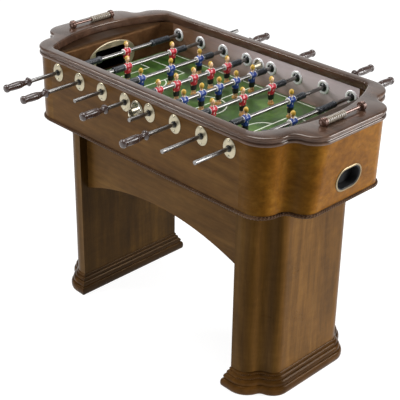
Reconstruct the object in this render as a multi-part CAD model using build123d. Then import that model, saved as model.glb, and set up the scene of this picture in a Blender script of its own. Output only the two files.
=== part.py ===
"""Furniture-style foosball table: cabinet on two pedestals, eight playing rods, scorers and ball return.

Units are millimetres. +X runs along the table, +Y across it to the back, +Z up. The floor is Z = 0.
Each node is written to parts/NODE.step in its resting place.
"""
import math
import os

from build123d import *

# ---- driving dimensions ----------------------------------------------------------------------
ROD_PITCH = 110.0
ROD_DIA = 12.7
ROD_BORE = 9.7
ROD_Z = 855.0
FIELD_Z = 780.0
FIELD_THICK = 10.0
FIELD_HALF_L = 448.0

RIM_TOP = 919.0
RIM_BOTTOM = 891.0
RIM_HALF_L = 607.0
RIM_HALF_W = 287.0
RIM_CORNER = (82.0, 32.0, 65.0)
OPENING_HALF_L = 445.0
OPENING_HALF_W = 254.0
OPENING_BULGE = 70.0
OPENING_CORNER_R = 30.0
SEAM_X = 424.0

WALL_BOTTOM = 664.0
WALL_HALF_W = 278.0
WALL_TOP_HALF_L = 599.0
WALL_TOP_CORNER = (73.0, 41.0, 56.0)
WALL_BOTTOM_HALF_L = 583.0
WALL_BOTTOM_CORNER = (66.0, 38.0, 48.0)
INSIDE_HALF_L = 560.0
INSIDE_HALF_W = 256.0
INSIDE_CORNER = (48.0, 60.0, 30.0)
CORNER_TURNS = (90.0, 80.0)
BEAD_OUT = 6.5
BEAD_HIGH = 12.0

FLOOR_LOW = 670.0
FLOOR_THICK = 12.0

LEG_IN = 364.0
LEG_OUT = 488.0
LEG_HALF_W = 220.0
LEG_CORNER = (48.5, 50.0, 37.5)
LEG_TURNS = (70.0, 52.0)
LEG_SKIN = 18.0
BASE_STEPS = ((0.0, 36.0, 27.0), (36.0, 50.0, 19.0), (50.0, 62.0, 11.5), (62.0, 72.0, 4.5))
BASE_TOP = 72.0

APRON_Y = 190.0
APRON_THICK = 18.0
ARCH_SPRING_Z = 412.0
ARCH_CROWN_Z = 483.0

INNER_END_THICK = 12.0
DECK_THICK = 11.0
INNER_END_EDGE_R = 13.0
COVE_R = 34.0
GOAL_HALF_W = 77.0
GOAL_HIGH = 78.0
GOAL_PLATE_HALF_W = 102.0
GOAL_PLATE_TOP = 878.0
GOAL_PLATE_THICK = 3.0

OUTLET_Z = 745.0
OUTLET_WIDE = 98.0
OUTLET_HIGH = 60.0
BEZEL_RIM = 8.0
BEZEL_FACE = 3.0

PLATE_WIDE = 48.0
PLATE_TALL = 60.0
PLATE_THICK = 3.0
PLATE_SCREW_Z = 22.5
BUSH_OD = 20.0
BUSH_BORE = 12.76
BUSH_OUT = 287.0
BUSH_IN = 249.0
INNER_RING_DIA = 46.0
INNER_RING_THICK = 3.0
SCREW_SHANK = 3.0
SCREW_HEAD = 7.0

CUP_Z = 850.0
CUP_OD = 54.0
CUP_TUBE_OD = 44.0
CUP_BORE = 40.0
CUP_LIP_REACH = 24.0

SCORER_X = 552.0
SCORER_MID_Y = 0.0
SCORER_HALF = 84.0
SCORER_Z = 930.0
SCORER_ROD_DIA = 10.0
SCORER_KNOB_R = 14.0
SCORER_KNOB_WIDE = 16.0
SCORE_BEADS = 10
SCORE_BEAD_PITCH = 8.0
SCORE_BEAD_WIDE = 7.7
SCORE_BEAD_DIA = 21.0
SCORE_BEAD_BORE = 10.1

MAN_HUB_HALF = 14.0
MAN_HUB_DIA = 21.0
BUMPER_DIA = 22.0
BUMPER_LONG = 46.0
GOALIE_BUMPER_DIA = 24.0
GOALIE_BUMPER_LONG = 81.0
GOALIE_BUMPER_START = 111.0
BUMPER_BORE = 12.74
BUMPER_GAP = 0.3
HANDLE_LONG = 98.0
HANDLE_BORE_DEPTH = 80.0

# rod number: figures on it, spacing, resting slide, handle side, handle end, bare end, team facing
RODS = {
    1: (1, 0.0, 11.0, -1, 488.0, 400.0, 1),
    2: (2, 200.0, 21.0, -1, 503.0, 440.0, 1),
    3: (3, 130.0, 12.0, 1, 481.0, 386.0, -1),
    4: (5, 76.0, 10.0, -1, 448.0, 380.0, 1),
    5: (5, 76.0, 13.0, 1, 469.0, 358.0, -1),
    6: (3, 130.0, 5.0, -1, 482.0, 397.0, 1),
    7: (2, 200.0, 2.0, 1, 503.0, 430.0, -1),
    8: (1, 0.0, -16.0, 1, 462.0, 412.0, -1),
}


# ---- helpers ---------------------------------------------------------------------------------
def rod_x(number):
    return (number - 4.5) * ROD_PITCH


def figure_ys(number):
    """Resting Y of every figure on a rod."""
    count, spacing, slide = RODS[number][:3]
    return [slide + (i - (count - 1) / 2) * spacing for i in range(count)]


def y_cylinder(dia, y_low, y_high, x=0.0, z=0.0):
    """Cylinder along Y between two Y values."""
    length = y_high - y_low
    spot = Pos(x, (y_low + y_high) / 2, z) * Rot(90, 0, 0)
    return spot * Cylinder(dia / 2, length)


def ogee_corner(radii, turns):
    """Points and arc centres of one convex, hollow, convex corner, heading +X and turning to +Y."""
    first, hollow, last = radii
    a = math.radians(turns[0])
    b = math.radians(turns[0] - turns[1])
    p1 = (first * math.sin(a), first * (1 - math.cos(a)))
    m1 = (first * math.sin(a / 2), first * (1 - math.cos(a / 2)))
    mid = (a + b) / 2
    p2 = (p1[0] + hollow * (math.sin(a) - math.sin(b)), p1[1] + hollow * (math.cos(b) - math.cos(a)))
    m2 = (p1[0] + hollow * (math.sin(a) - math.sin(mid)), p1[1] + hollow * (math.cos(mid) - math.cos(a)))
    end = (math.pi / 2 + b) / 2
    p3 = (p2[0] + last * (1 - math.sin(b)), p2[1] + last * math.cos(b))
    m3 = (p2[0] + last * (math.sin(end) - math.sin(b)), p2[1] + last * (math.cos(b) - math.cos(end)))
    return [(0.0, 0.0), m1, p1, m2, p2, m3, p3]


def corner_arcs(radii, turns, out_x, half_w, sign_x, sign_y):
    """The three arcs of one corner placed so that it ends on X = out_x and starts on Y = -half_w."""
    pts = ogee_corner(radii, turns)
    shift = out_x - pts[-1][0]
    pts = [(sign_x * (x + shift), sign_y * (y - half_w)) for x, y in pts]
    arcs = [ThreePointArc(pts[i], pts[i + 1], pts[i + 2]) for i in (0, 2, 4)]
    return arcs, pts[0], pts[-1]


def table_face(half_l, half_w, radii, turns=CORNER_TURNS, z=0.0):
    """Table outline with four ogee corners."""
    fr, fr_start, fr_end = corner_arcs(radii, turns, half_l, half_w, 1, 1)
    br, br_start, br_end = corner_arcs(radii, turns, half_l, half_w, 1, -1)
    bl, bl_start, bl_end = corner_arcs(radii, turns, half_l, half_w, -1, -1)
    fl, fl_start, fl_end = corner_arcs(radii, turns, half_l, half_w, -1, 1)
    edges = fr + [Line(fr_end, br_end)] + br[::-1] + [Line(br_start, bl_start)]
    edges += bl + [Line(bl_end, fl_end)] + fl[::-1] + [Line(fl_start, fr_start)]
    return Pos(0, 0, z) * make_face(Curve() + edges)


def leg_face(grow):
    """Pedestal outline on the right side: flat inside face, ogee corners outside."""
    first, hollow, last = LEG_CORNER
    radii = (first + grow, hollow - grow, last + grow)
    out_x = LEG_OUT + grow
    half_w = LEG_HALF_W + grow
    inner = LEG_IN - (0.7 * grow if grow > 0 else grow)
    front, front_start, front_end = corner_arcs(radii, LEG_TURNS, out_x, half_w, 1, 1)
    back, back_start, back_end = corner_arcs(radii, LEG_TURNS, out_x, half_w, 1, -1)
    edges = front + [Line(front_end, back_end)] + back[::-1]
    edges += [Line(back_start, (inner, half_w)), Line((inner, half_w), (inner, -half_w))]
    edges += [Line((inner, -half_w), front_start)]
    return make_face(Curve() + edges)


def prism(face, z_low, z_high):
    return extrude(Pos(0, 0, z_low) * face, z_high - z_low)


def left_of(shape):
    """The mirrored twin on the left side."""
    return mirror(shape, about=Plane.YZ)


def back_of(shape):
    return mirror(shape, about=Plane.XZ)


def save(name, *solids):
    shape = solids[0] if len(solids) == 1 else Compound(children=list(solids))
    shape.label = name
    export_step(shape, f"parts/{name}.step")


# ---- cabinet ---------------------------------------------------------------------------------
def cabinet_outside():
    low = table_face(WALL_BOTTOM_HALF_L, WALL_HALF_W, WALL_BOTTOM_CORNER, z=WALL_BOTTOM)
    high = table_face(WALL_TOP_HALF_L, WALL_HALF_W, WALL_TOP_CORNER, z=RIM_BOTTOM)
    return loft([low, high], ruled=True)


def cabinet_inside(z_low, z_high):
    return prism(table_face(INSIDE_HALF_L, INSIDE_HALF_W, INSIDE_CORNER), z_low, z_high)


def outlet_cutter(wide, high, x_low, x_high):
    face = Plane.YZ * SlotOverall(wide, high)
    return extrude(Pos(x_low, 0, OUTLET_Z) * face, x_high - x_low)


def wall_holes():
    """Everything that is drilled through the front wall."""
    out = -WALL_HALF_W - 5
    inn = -INSIDE_HALF_W + 5
    cuts = [y_cylinder(CUP_TUBE_OD + 0.2, out, inn, 0, CUP_Z)]
    for number in RODS:
        x = rod_x(number)
        cuts.append(y_cylinder(BUSH_OD + 0.2, out, inn, x, ROD_Z))
        for side in (-1, 1):
            z = ROD_Z + side * PLATE_SCREW_Z
            cuts.append(y_cylinder(SCREW_SHANK + 0.1, out, -WALL_HALF_W + 13, x, z))
    return cuts


def cabinet_walls():
    ring = cabinet_outside() - cabinet_inside(WALL_BOTTOM - 1, RIM_BOTTOM + 1)
    tall = 400.0
    mid_z = (WALL_BOTTOM + RIM_BOTTOM) / 2
    front = ring & Pos(0, -300, mid_z) * Box(2 * SEAM_X, 300, tall)
    for cut in wall_holes():
        front -= cut
    right = ring & Pos(SEAM_X + 200, 0, mid_z) * Box(400, 700, tall)
    right -= outlet_cutter(OUTLET_WIDE, OUTLET_HIGH, INSIDE_HALF_L - 20, WALL_TOP_HALF_L + 20)
    save("front_panel", front)
    save("back_panel", back_of(front))
    save("right_end_panel", right)
    save("left_end_panel", left_of(right))


def bead_moulding():
    first, hollow, last = WALL_BOTTOM_CORNER
    radii = (first + BEAD_OUT, hollow - BEAD_OUT, last + BEAD_OUT)
    outline = table_face(WALL_BOTTOM_HALF_L + BEAD_OUT, WALL_HALF_W + BEAD_OUT, radii)
    ring = prism(outline, WALL_BOTTOM, WALL_BOTTOM + BEAD_HIGH) - cabinet_outside()
    save("bead_moulding", ring)


def opening_face():
    """Opening in the top rails: straight sides, bowed ends and rounded corners."""
    length, width, bulge = OPENING_HALF_L, OPENING_HALF_W, OPENING_BULGE
    right = ThreePointArc((length, -width), (length + bulge, 0), (length, width))
    left = ThreePointArc((-length, width), (-length - bulge, 0), (-length, -width))
    edges = [right, Line((length, width), (-length, width)), left]
    edges.append(Line((-length, -width), (length, -width)))
    face = make_face(Curve() + edges)
    return fillet(face.vertices(), OPENING_CORNER_R)


def top_rails():
    ring = prism(table_face(RIM_HALF_L, RIM_HALF_W, RIM_CORNER), RIM_BOTTOM, RIM_TOP)
    ring -= prism(opening_face(), RIM_BOTTOM - 1, RIM_TOP + 1)
    mid_z = (RIM_TOP + RIM_BOTTOM) / 2
    front = ring & Pos(0, -250, mid_z) * Box(2 * SEAM_X, 300, 100)
    right = ring & Pos(SEAM_X + 200, 0, mid_z) * Box(400, 700, 100)
    save("front_top_rail", front)
    save("back_top_rail", back_of(front))
    save("right_top_rail", right)
    save("left_top_rail", left_of(right))


def cabinet_floor():
    save("cabinet_floor", cabinet_inside(FLOOR_LOW, FLOOR_LOW + FLOOR_THICK))


def playfield():
    board = cabinet_inside(FIELD_Z - FIELD_THICK, FIELD_Z)
    board &= Pos(0, 0, FIELD_Z) * Box(2 * FIELD_HALF_L, 700, 4 * FIELD_THICK)
    save("playfield", board)


def inner_end():
    """Goal wall with the deck that closes the space out to the end panel."""
    low = FLOOR_LOW + FLOOR_THICK
    x_out = FIELD_HALF_L + INNER_END_THICK
    wall = cabinet_inside(low, RIM_BOTTOM)
    wall &= Pos((FIELD_HALF_L + x_out) / 2, 0, 800) * Box(INNER_END_THICK, 700, 400)
    deck = cabinet_inside(RIM_BOTTOM - DECK_THICK, RIM_BOTTOM)
    deck &= Pos(FIELD_HALF_L + 200, 0, RIM_BOTTOM) * Box(400, 700, 100)
    goal = Pos(FIELD_HALF_L, 0, FIELD_Z + GOAL_HIGH / 2)
    goal *= Box(60, 2 * GOAL_HALF_W, GOAL_HIGH)
    body = wall + deck - goal
    lip = body.edges().filter_by(Axis.Y).sort_by(lambda e: (round(e.center().X), -round(e.center().Z)))[0]
    body = fillet(lip, INNER_END_EDGE_R)
    body = body + corner_cove() + back_of(corner_cove())
    save("right_inner_end", body)
    save("left_inner_end", left_of(body))


def corner_cove():
    """Hollow corner between the goal wall and the front panel."""
    high = RIM_BOTTOM - FIELD_Z
    block = Pos(FIELD_HALF_L - COVE_R / 2, -INSIDE_HALF_W + COVE_R / 2, FIELD_Z + high / 2)
    block *= Box(COVE_R, COVE_R, high)
    hollow = Pos(FIELD_HALF_L - COVE_R, -INSIDE_HALF_W + COVE_R, FIELD_Z + high / 2)
    block -= hollow * Cylinder(COVE_R, high + 1)
    return block & cabinet_inside(FIELD_Z, RIM_BOTTOM)


def goal_plates():
    """Flat metal plate with an arched top around each goal mouth."""
    foot_half = GOAL_HALF_W + 6
    crown = GOAL_PLATE_TOP
    wide_z = FIELD_Z + 45
    left_arc = ThreePointArc((-foot_half, FIELD_Z), (-96, 798), (-GOAL_PLATE_HALF_W, wide_z))
    top_arc = ThreePointArc((-GOAL_PLATE_HALF_W, wide_z), (0, crown), (GOAL_PLATE_HALF_W, wide_z))
    right_arc = ThreePointArc((GOAL_PLATE_HALF_W, wide_z), (96, 798), (foot_half, FIELD_Z))
    outline = make_face(Curve() + [left_arc, top_arc, right_arc, Line((foot_half, FIELD_Z), (-foot_half, FIELD_Z))])
    mouth = Pos(0, FIELD_Z + GOAL_HIGH / 2) * Rectangle(2 * GOAL_HALF_W - 8, GOAL_HIGH + 0.01)
    mouth = Pos(0, -2) * mouth
    plate = extrude(Plane.YZ * (outline - mouth), GOAL_PLATE_THICK)
    right = Pos(FIELD_HALF_L - GOAL_PLATE_THICK, 0, 0) * plate
    save("goal_plates", right, left_of(right))


def ball_trays():
    """Sloping trough behind each goal that carries the ball down to the outlet."""
    x_in = FIELD_HALF_L + INNER_END_THICK
    x_out = INSIDE_HALF_L
    z_in = FIELD_Z - 16
    z_out = OUTLET_Z - OUTLET_HIGH / 2 - 1
    wide = 2 * GOAL_HALF_W + 8
    pts = [(x_in, z_in), (x_out, z_out), (x_out, z_out - 5), (x_in, z_in - 5)]
    floor = extrude(Plane.XZ * make_face(Polyline(*pts, close=True)), wide / 2, both=True)
    pts = [(x_in, z_in + 60), (x_out, z_out + 66), (x_out, z_out - 5), (x_in, z_in - 5)]
    cheek = extrude(Plane.XZ * make_face(Polyline(*pts, close=True)), 2, both=True)
    tray = floor + Pos(0, wide / 2, 0) * cheek + Pos(0, -wide / 2, 0) * cheek
    save("ball_trays", tray, left_of(tray))


def return_bezels():
    """Metal trim ring round each outlet, cut to lie on the sloping end wall."""
    outside = outlet_cutter(OUTLET_WIDE + 2 * BEZEL_RIM, OUTLET_HIGH + 2 * BEZEL_RIM, 570, 620)
    inside = outlet_cutter(OUTLET_WIDE - 3, OUTLET_HIGH - 3, 560, 630)
    sleeve = outlet_cutter(OUTLET_WIDE - 0.2, OUTLET_HIGH - 0.2, INSIDE_HALF_L + 2, 620)
    face = outside - cabinet_outside()
    slope = (WALL_TOP_HALF_L - WALL_BOTTOM_HALF_L) / (RIM_BOTTOM - WALL_BOTTOM)
    x_mid = WALL_BOTTOM_HALF_L + slope * (OUTLET_Z - WALL_BOTTOM) + BEZEL_FACE
    tilt = math.degrees(math.atan(slope))
    trim = Pos(x_mid + 100, 0, OUTLET_Z) * Rot(0, tilt, 0) * Box(200, 300, 300)
    ring = (face + sleeve) - trim - inside
    save("return_bezels", ring, left_of(ring))


# ---- pedestals -------------------------------------------------------------------------------
def pedestals():
    leg = prism(leg_face(0), BASE_TOP, FLOOR_LOW) - prism(leg_face(-LEG_SKIN), BASE_TOP, FLOOR_LOW)
    base = None
    for low, high, grow in BASE_STEPS:
        step = prism(leg_face(grow), low, high)
        base = step if base is None else base + step
    save("right_leg", leg)
    save("left_leg", left_of(leg))
    save("right_leg_base", base)
    save("left_leg_base", left_of(base))


def aprons():
    rise = ARCH_CROWN_Z - ARCH_SPRING_Z
    radius = (LEG_IN**2 + rise**2) / (2 * rise)
    slab = Pos(0, -APRON_Y + APRON_THICK / 2, (FLOOR_LOW + ARCH_SPRING_Z) / 2)
    slab *= Box(2 * LEG_IN, APRON_THICK, FLOOR_LOW - ARCH_SPRING_Z)
    slab -= y_cylinder(2 * radius, -300, 0, 0, ARCH_CROWN_Z - radius)
    save("aprons", slab, back_of(slab))


# ---- wall fittings ---------------------------------------------------------------------------
def escutcheons():
    plates = []
    oval = Ellipse(PLATE_WIDE / 2, PLATE_TALL / 2) - Circle(BUSH_OD / 2 + 0.1)
    for side in (-1, 1):
        oval -= Pos(0, side * PLATE_SCREW_Z) * Circle(SCREW_SHANK / 2 + 0.05)
    plate = extrude(Plane.XZ * oval, PLATE_THICK)
    for number in RODS:
        front = Pos(rod_x(number), -WALL_HALF_W, ROD_Z) * plate
        plates += [front, back_of(front)]
    save("escutcheons", *plates)


def escutcheon_screws():
    screws = []
    face = -WALL_HALF_W - PLATE_THICK
    for number in RODS:
        for side in (-1, 1):
            z = ROD_Z + side * PLATE_SCREW_Z
            x = rod_x(number)
            head = y_cylinder(SCREW_HEAD, face - 1.6, face, x, z)
            front = head + y_cylinder(SCREW_SHANK, face, -WALL_HALF_W + 12, x, z)
            screws += [front, back_of(front)]
    save("escutcheon_screws", *screws)


def rod_bushes():
    bushes = []
    for number in RODS:
        x = rod_x(number)
        body = y_cylinder(BUSH_OD, -BUSH_OUT, -BUSH_IN, x, ROD_Z)
        body += y_cylinder(INNER_RING_DIA, -INSIDE_HALF_W, -INSIDE_HALF_W + INNER_RING_THICK, x, ROD_Z)
        body -= y_cylinder(BUSH_BORE, -BUSH_OUT - 1, -BUSH_IN + 1, x, ROD_Z)
        bushes += [body, back_of(body)]
    save("rod_bushes", *bushes)


def ball_entry_cups():
    outer_face = -WALL_HALF_W - 4
    flange = y_cylinder(CUP_OD, outer_face, -WALL_HALF_W, 0, CUP_Z)
    flange += y_cylinder(CUP_OD - 4, -INSIDE_HALF_W, -INSIDE_HALF_W + 3, 0, CUP_Z)
    tube = y_cylinder(CUP_TUBE_OD, outer_face, -INSIDE_HALF_W + 3, 0, CUP_Z)
    lip = y_cylinder(CUP_TUBE_OD + 4, outer_face - CUP_LIP_REACH, outer_face, 0, CUP_Z)
    lip -= Pos(0, outer_face - CUP_LIP_REACH / 2, CUP_Z + 42) * Box(80, 80, 80 + 2)
    cup = flange + tube + lip
    cup -= y_cylinder(CUP_BORE, outer_face - 40, -INSIDE_HALF_W + 10, 0, CUP_Z)
    save("ball_entry_cups", cup, back_of(cup))


# ---- scorers ---------------------------------------------------------------------------------
def scorers():
    frames = []
    bead = y_cylinder(SCORE_BEAD_DIA, 0, SCORE_BEAD_WIDE) - y_cylinder(SCORE_BEAD_BORE, -1, SCORE_BEAD_WIDE + 1)
    for side, name in ((1, "right_score_beads"), (-1, "left_score_beads")):
        x = side * SCORER_X
        low = SCORER_MID_Y - SCORER_HALF
        high = SCORER_MID_Y + SCORER_HALF
        frame = y_cylinder(SCORER_ROD_DIA, low, high, x, SCORER_Z)
        for y in (low, high):
            half = SCORER_KNOB_WIDE / 2
            frame += y_cylinder(2 * SCORER_KNOB_R, y - half, y + half, x, SCORER_Z)
        frame -= Pos(x, SCORER_MID_Y, RIM_TOP - 50) * Box(60, 300, 100)
        frames.append(frame)
        stack = SCORE_BEADS * SCORE_BEAD_PITCH
        clear = SCORER_KNOB_WIDE / 2 + 0.5
        start = low + clear if side > 0 else high - clear - stack
        beads = [Pos(x, start + i * SCORE_BEAD_PITCH, SCORER_Z) * bead for i in range(SCORE_BEADS)]
        save(name, *beads)
    save("scorer_posts", *frames)


# ---- playing rods ----------------------------------------------------------------------------
def figure(facing):
    """Moulded figure centred on its rod: head, trunk, hub, shorts and block foot."""
    head = Pos(0, 0, 26) * Cylinder(8.5, 23)
    neck = Pos(0, 0, 13) * Cylinder(5, 8)
    trunk = Pos(0, 0, -4) * Box(16, 26, 34)
    hub = y_cylinder(MAN_HUB_DIA, -MAN_HUB_HALF, MAN_HUB_HALF)
    shorts = Pos(0, 0, -29) * Box(14, 22, 18)
    shins = Pos(0, 0, -45) * Box(11, 17, 16)
    foot = Pos(facing * 1.5, 0, -53) * Box(16, 18, 11)
    body = head + neck + trunk + hub + shorts + shins + foot
    return body - y_cylinder(ROD_DIA, -20, 20)


def handle(number):
    """Turned grip, blind bored for the rod; the profile runs from the flange to the end cap."""
    side, end = RODS[number][3:5]
    profile = [(0, 0), (15, 0), (15, 5), (9, 12), (8.5, 22), (12, 34), (12.5, 60), (11.5, 84), (13, 90)]
    profile += [(12, 96), (8, HANDLE_LONG), (0, HANDLE_LONG)]
    spin = revolve(Plane.XZ * make_face(Polyline(*profile, close=True)), Axis.Z)
    spin -= Pos(0, 0, HANDLE_BORE_DEPTH / 2) * Cylinder(ROD_DIA / 2, HANDLE_BORE_DEPTH)
    turn = Rot(90, 0, 0) if side < 0 else Rot(-90, 0, 0)
    return Pos(rod_x(number), side * (end - HANDLE_LONG), ROD_Z) * turn * spin


def bumper_spans(number):
    """Y spans of the two rubber sleeves of one rod at rest."""
    ys = figure_ys(number)
    slide = RODS[number][2]
    if RODS[number][0] == 1:
        start, long = GOALIE_BUMPER_START, GOALIE_BUMPER_LONG
    else:
        start, long = ys[-1] - slide + MAN_HUB_HALF + BUMPER_GAP, BUMPER_LONG
    return [(slide + start, slide + start + long), (slide - start - long, slide - start)]


def playing_rod(number):
    count, spacing, slide, side, end, bare, facing = RODS[number]
    x = rod_x(number)
    hidden = end - HANDLE_LONG + HANDLE_BORE_DEPTH
    low, high = (-hidden, bare) if side < 0 else (-bare, hidden)
    tube = y_cylinder(ROD_DIA, low, high, x, ROD_Z) - y_cylinder(ROD_BORE, low - 1, high + 1, x, ROD_Z)
    dia = GOALIE_BUMPER_DIA if count == 1 else BUMPER_DIA
    sleeves = []
    for start, stop in bumper_spans(number):
        bore = y_cylinder(BUMPER_BORE, start - 1, stop + 1, x, ROD_Z)
        sleeves.append(y_cylinder(dia, start, stop, x, ROD_Z) - bore)
    man = figure(facing)
    save(f"rod_{number}", tube)
    save(f"handle_{number}", handle(number))
    save(f"bumpers_{number}", *sleeves)
    save(f"players_{number}", *[Pos(x, y, ROD_Z) * man for y in figure_ys(number)])


def main():
    os.makedirs("parts", exist_ok=True)
    cabinet_walls()
    bead_moulding()
    top_rails()
    cabinet_floor()
    playfield()
    inner_end()
    goal_plates()
    ball_trays()
    return_bezels()
    pedestals()
    aprons()
    escutcheons()
    escutcheon_screws()
    rod_bushes()
    ball_entry_cups()
    scorers()
    for number in RODS:
        playing_rod(number)


main()
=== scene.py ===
"""Looks of the foosball table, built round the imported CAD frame.

Shapes are in millimetres, the camera and lights in metres; +X along the table, +Y to the back, +Z up.
"""
import math

import bmesh
import bpy
from mathutils import Matrix, Vector


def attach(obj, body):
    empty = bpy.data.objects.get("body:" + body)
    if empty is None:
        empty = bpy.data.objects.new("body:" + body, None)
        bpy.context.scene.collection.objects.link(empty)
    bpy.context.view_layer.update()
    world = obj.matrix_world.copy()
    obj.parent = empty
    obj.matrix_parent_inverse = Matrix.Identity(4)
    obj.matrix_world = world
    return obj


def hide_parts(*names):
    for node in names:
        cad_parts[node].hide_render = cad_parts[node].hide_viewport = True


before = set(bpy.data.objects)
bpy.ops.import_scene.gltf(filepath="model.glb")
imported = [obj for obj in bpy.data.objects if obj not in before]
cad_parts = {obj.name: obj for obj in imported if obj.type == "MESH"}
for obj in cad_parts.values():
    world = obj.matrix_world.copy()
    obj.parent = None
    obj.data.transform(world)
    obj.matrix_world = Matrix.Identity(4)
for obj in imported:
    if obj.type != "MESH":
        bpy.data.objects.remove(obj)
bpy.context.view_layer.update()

MM = 0.001
PITCH = 110.0
FIELD_Z = 780.0
ROD_Z = 855.0
ROD_R = 6.35
WALL_Y = 278.0
RAIL_LOW, RAIL_TOP = 891.0, 919.0
CABINET_FOOT = 664.0
CUP_Z = 850.0
OUTLET_Z = 745.0
ENDS = ((1, "right"), (-1, "left"))
SIDES = ((-1, "front"), (1, "back"))
# number: figures, spacing, resting slide, handle side, handle end, bare end, team facing
RODS = {
    1: (1, 0.0, 11.0, -1, 488.0, 400.0, 1),
    2: (2, 200.0, 21.0, -1, 503.0, 440.0, 1),
    3: (3, 130.0, 12.0, 1, 481.0, 386.0, -1),
    4: (5, 76.0, 10.0, -1, 448.0, 380.0, 1),
    5: (5, 76.0, 13.0, 1, 469.0, 358.0, -1),
    6: (3, 130.0, 5.0, -1, 482.0, 397.0, 1),
    7: (2, 200.0, 2.0, 1, 503.0, 430.0, -1),
    8: (1, 0.0, -16.0, 1, 462.0, 412.0, -1),
}


def rod_x(number):
    return (number - 4.5) * PITCH


# ---- materials -----------------------------------------------
def srgb(red, green, blue):
    """Linear colour of an 8-bit display colour."""
    def channel(value):
        value /= 255.0
        return value / 12.92 if value <= 0.04045 else ((value + 0.055) / 1.055) ** 2.4
    return (channel(red), channel(green), channel(blue), 1.0)


class Look:
    """A material with a Principled shader, and short calls that add nodes to it."""

    def __init__(self, name, **constants):
        self.material = bpy.data.materials.new(name)
        self.material.use_nodes = True
        self.tree = self.material.node_tree
        self.shader = self.tree.nodes["Principled BSDF"]
        for key, value in constants.items():
            self.shader.inputs[key.replace("_", " ")].default_value = value

    def node(self, kind, inputs=None, **settings):
        made = self.tree.nodes.new("ShaderNode" + kind)
        for key, value in settings.items():
            setattr(made, key, value)
        for key, value in (inputs or {}).items():
            self.put(made.inputs[key], value)
        return made

    def put(self, socket, value):
        if isinstance(value, bpy.types.NodeSocket):
            self.tree.links.new(value, socket)
        else:
            socket.default_value = value

    def shade(self, key, value):
        self.put(self.shader.inputs[key], value)

    def place(self, scale=(1, 1, 1)):
        coords = self.node("TexCoord").outputs["Object"]
        return self.node("Mapping", {"Vector": coords, "Scale": scale}).outputs[0]

    def noise(self, at, scale, detail=3.0, roughness=0.55, distortion=0.0):
        keys = {"Vector": at, "Scale": scale, "Detail": detail, "Roughness": roughness,
                "Distortion": distortion}
        return self.node("TexNoise", keys).outputs["Fac"]

    def ramp(self, factor, *stops):
        made = self.node("ValToRGB", {"Fac": factor})
        bar = made.color_ramp.elements
        while len(bar) < len(stops):
            bar.new(0.5)
        for element, (where, colour) in zip(bar, stops):
            element.position = where
            element.color = colour
        return made.outputs["Color"]

    def mix(self, factor, first, second, blend="MIX"):
        made = self.node("Mix", data_type="RGBA", blend_type=blend)
        for index, value in ((0, factor), (6, first), (7, second)):
            self.put(made.inputs[index], value)
        return made.outputs[2]

    def math(self, operation, first, second=0.5):
        return self.node("Math", {0: first, 1: second}, operation=operation).outputs[0]

    def span(self, value, low, high, out_low=0.0, out_high=1.0):
        keys = {"Value": value, "From Min": low, "From Max": high, "To Min": out_low, "To Max": out_high}
        return self.node("MapRange", keys).outputs[0]

    def bump(self, height, strength=0.3, distance=0.001):
        keys = {"Height": height, "Strength": strength, "Distance": distance}
        self.shade("Normal", self.node("Bump", keys).outputs[0])


def grey(value):
    return (value, value, value, 1.0)


VARNISH_TINT = srgb(255, 196, 120)


def wood(name, dark, middle, light, grain, figure=0.5, roughness=0.34, coat=0.0, level=0.12,
         painted_sheen=None, side_shade=None, top_shade=None):
    """Lacquered veneer. grain is the scale vector: small along the grain, large across it.

    painted_sheen is (low x, high x, amount, colour), a painted pale sheen of glare that grows along X and is
    stronger
    higher up. side_shade is painted shade: the tone of faces that look along Y, with darker painted shade on
    the turns between them and the end faces. top_shade is painted shade that darkens faces that look up.
    """
    dark, middle, light = srgb(*dark), srgb(*middle), srgb(*light)
    look = Look(name, Coat_Weight=coat, Coat_Roughness=0.15, Specular_IOR_Level=level)
    look.shader.inputs["Specular Tint"].default_value = VARNISH_TINT
    spread = look.place(grain)
    even = look.place()
    streak = look.noise(spread, 9.0, 6.0, 0.62, 1.1)
    pores = look.noise(spread, 60.0, 4.0, 0.7, 0.4)
    cloud = look.noise(even, 5.5, 3.0, 0.5, 0.8)
    burl = look.noise(look.place((0.7, 0.7, 1.5)), 30.0, 3.0, 0.55, 0.5)
    tone = look.mix(figure, streak, look.mix(0.45, cloud, burl))
    colour = look.ramp(tone, (0.34, dark), (0.50, middle), (0.67, light))
    shade = look.span(pores, 0.35, 0.62, 0.78, 1.10)
    colour = look.mix(1.0, colour, shade, "MULTIPLY")
    # Painted shade: faces that look along Y, and the turns into them, are darkened by their normal.
    if side_shade:
        facing = look.node("SeparateXYZ", {"Vector": look.node("NewGeometry").outputs["Normal"]}).outputs["Y"]
        turned = look.math("ABSOLUTE", facing)
        turn, near_flat = (0.54, 0.55, 0.46, 1.0), (0.50, 0.55, 0.80, 1.0)
        painted_shade = look.ramp(turned, (0.25, grey(1.0)), (0.66, turn), (0.92, near_flat), (1.0, side_shade))
        colour = look.mix(1.0, colour, painted_shade, "MULTIPLY")
    # Painted shade: faces that look up are darkened by their normal.
    if top_shade:
        lift = look.node("SeparateXYZ", {"Vector": look.node("NewGeometry").outputs["Normal"]}).outputs["Z"]
        painted_shade = look.ramp(lift, (0.15, grey(1.0)), (0.85, grey(top_shade)))
        colour = look.mix(1.0, colour, painted_shade, "MULTIPLY")
    # Painted sheen: a pale glare blended in along X, stronger higher up.
    if painted_sheen:
        low, high, amount, pale = painted_sheen
        along = look.node("SeparateXYZ", {"Vector": even}).outputs["X"]
        height = look.node("SeparateXYZ", {"Vector": even}).outputs["Z"]
        sheen_ramp = look.span(along, low, high, 0.0, amount)
        share = look.math("MULTIPLY", sheen_ramp, look.span(streak, 0.3, 0.7, 0.7, 1.2))
        share = look.math("MULTIPLY", share, look.span(height, 0.785, 0.850, 0.18, 1.0))
        colour = look.mix(share, colour, pale)
    look.shade("Base Color", colour)
    look.shade("Roughness", look.span(cloud, 0.3, 0.7, roughness - 0.05, roughness + 0.08))
    look.bump(pores, 0.12, 0.0004)
    return look.material


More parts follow.
